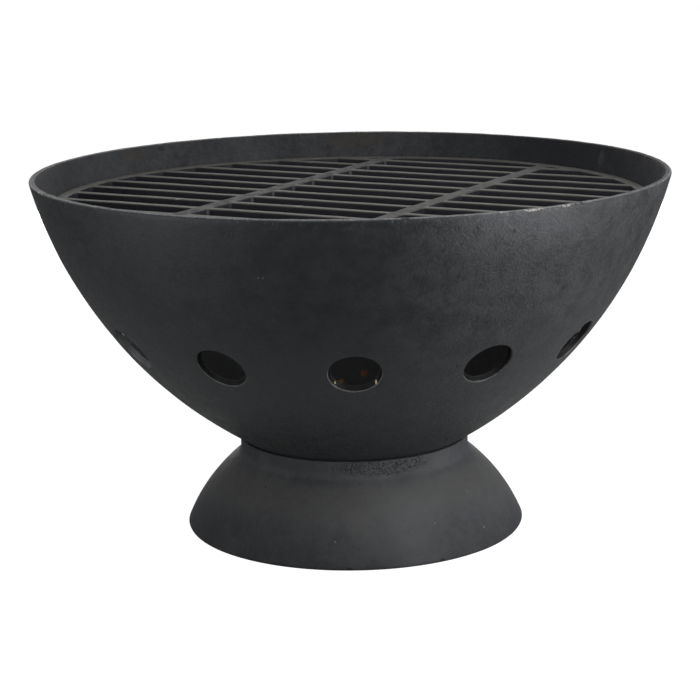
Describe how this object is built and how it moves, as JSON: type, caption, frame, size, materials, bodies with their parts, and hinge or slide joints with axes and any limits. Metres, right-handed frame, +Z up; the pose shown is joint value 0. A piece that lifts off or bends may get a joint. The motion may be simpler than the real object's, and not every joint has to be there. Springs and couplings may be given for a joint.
{
  "type": "fire pit with grate",
  "caption": "Round cast-iron fire bowl on a flared domed foot, with round air vents in its wall and a barred grate that lifts out from just below the rim.",
  "frame": {"origin": "middle of the pedestal's resting face, on the ground", "axes": "+Z straight up along the bowl's axis; one vent faces -Y, the side the fire pit is seen from"},
  "size_m": [0.5988, 0.5986, 0.343],
  "materials": {
    "bowl_iron": "matte black heat-proof coat over sand-cast iron",
    "pedestal_iron": "matte black heat-proof coat over sand-cast iron",
    "grate_iron": "matte, worn grey-brown on top",
    "zinc_steel": "zinc plated, dulled by smoke"
  },
  "bodies": {
    "fire_pit": {"bowl": "bowl_iron", "pedestal": "pedestal_iron", "bolts": "zinc_steel", "bowl_washers": "zinc_steel", "flange_washers": "zinc_steel", "nuts": "zinc_steel"},
    "grate": {"cooking_grate": "grate_iron"}
  },
  "joints": [
    {"name": "grate_lift", "type": "slide", "parent": "fire_pit", "child": "grate", "axis": [0, 0, 1], "range_m": [0, 0.2]}
  ]
}
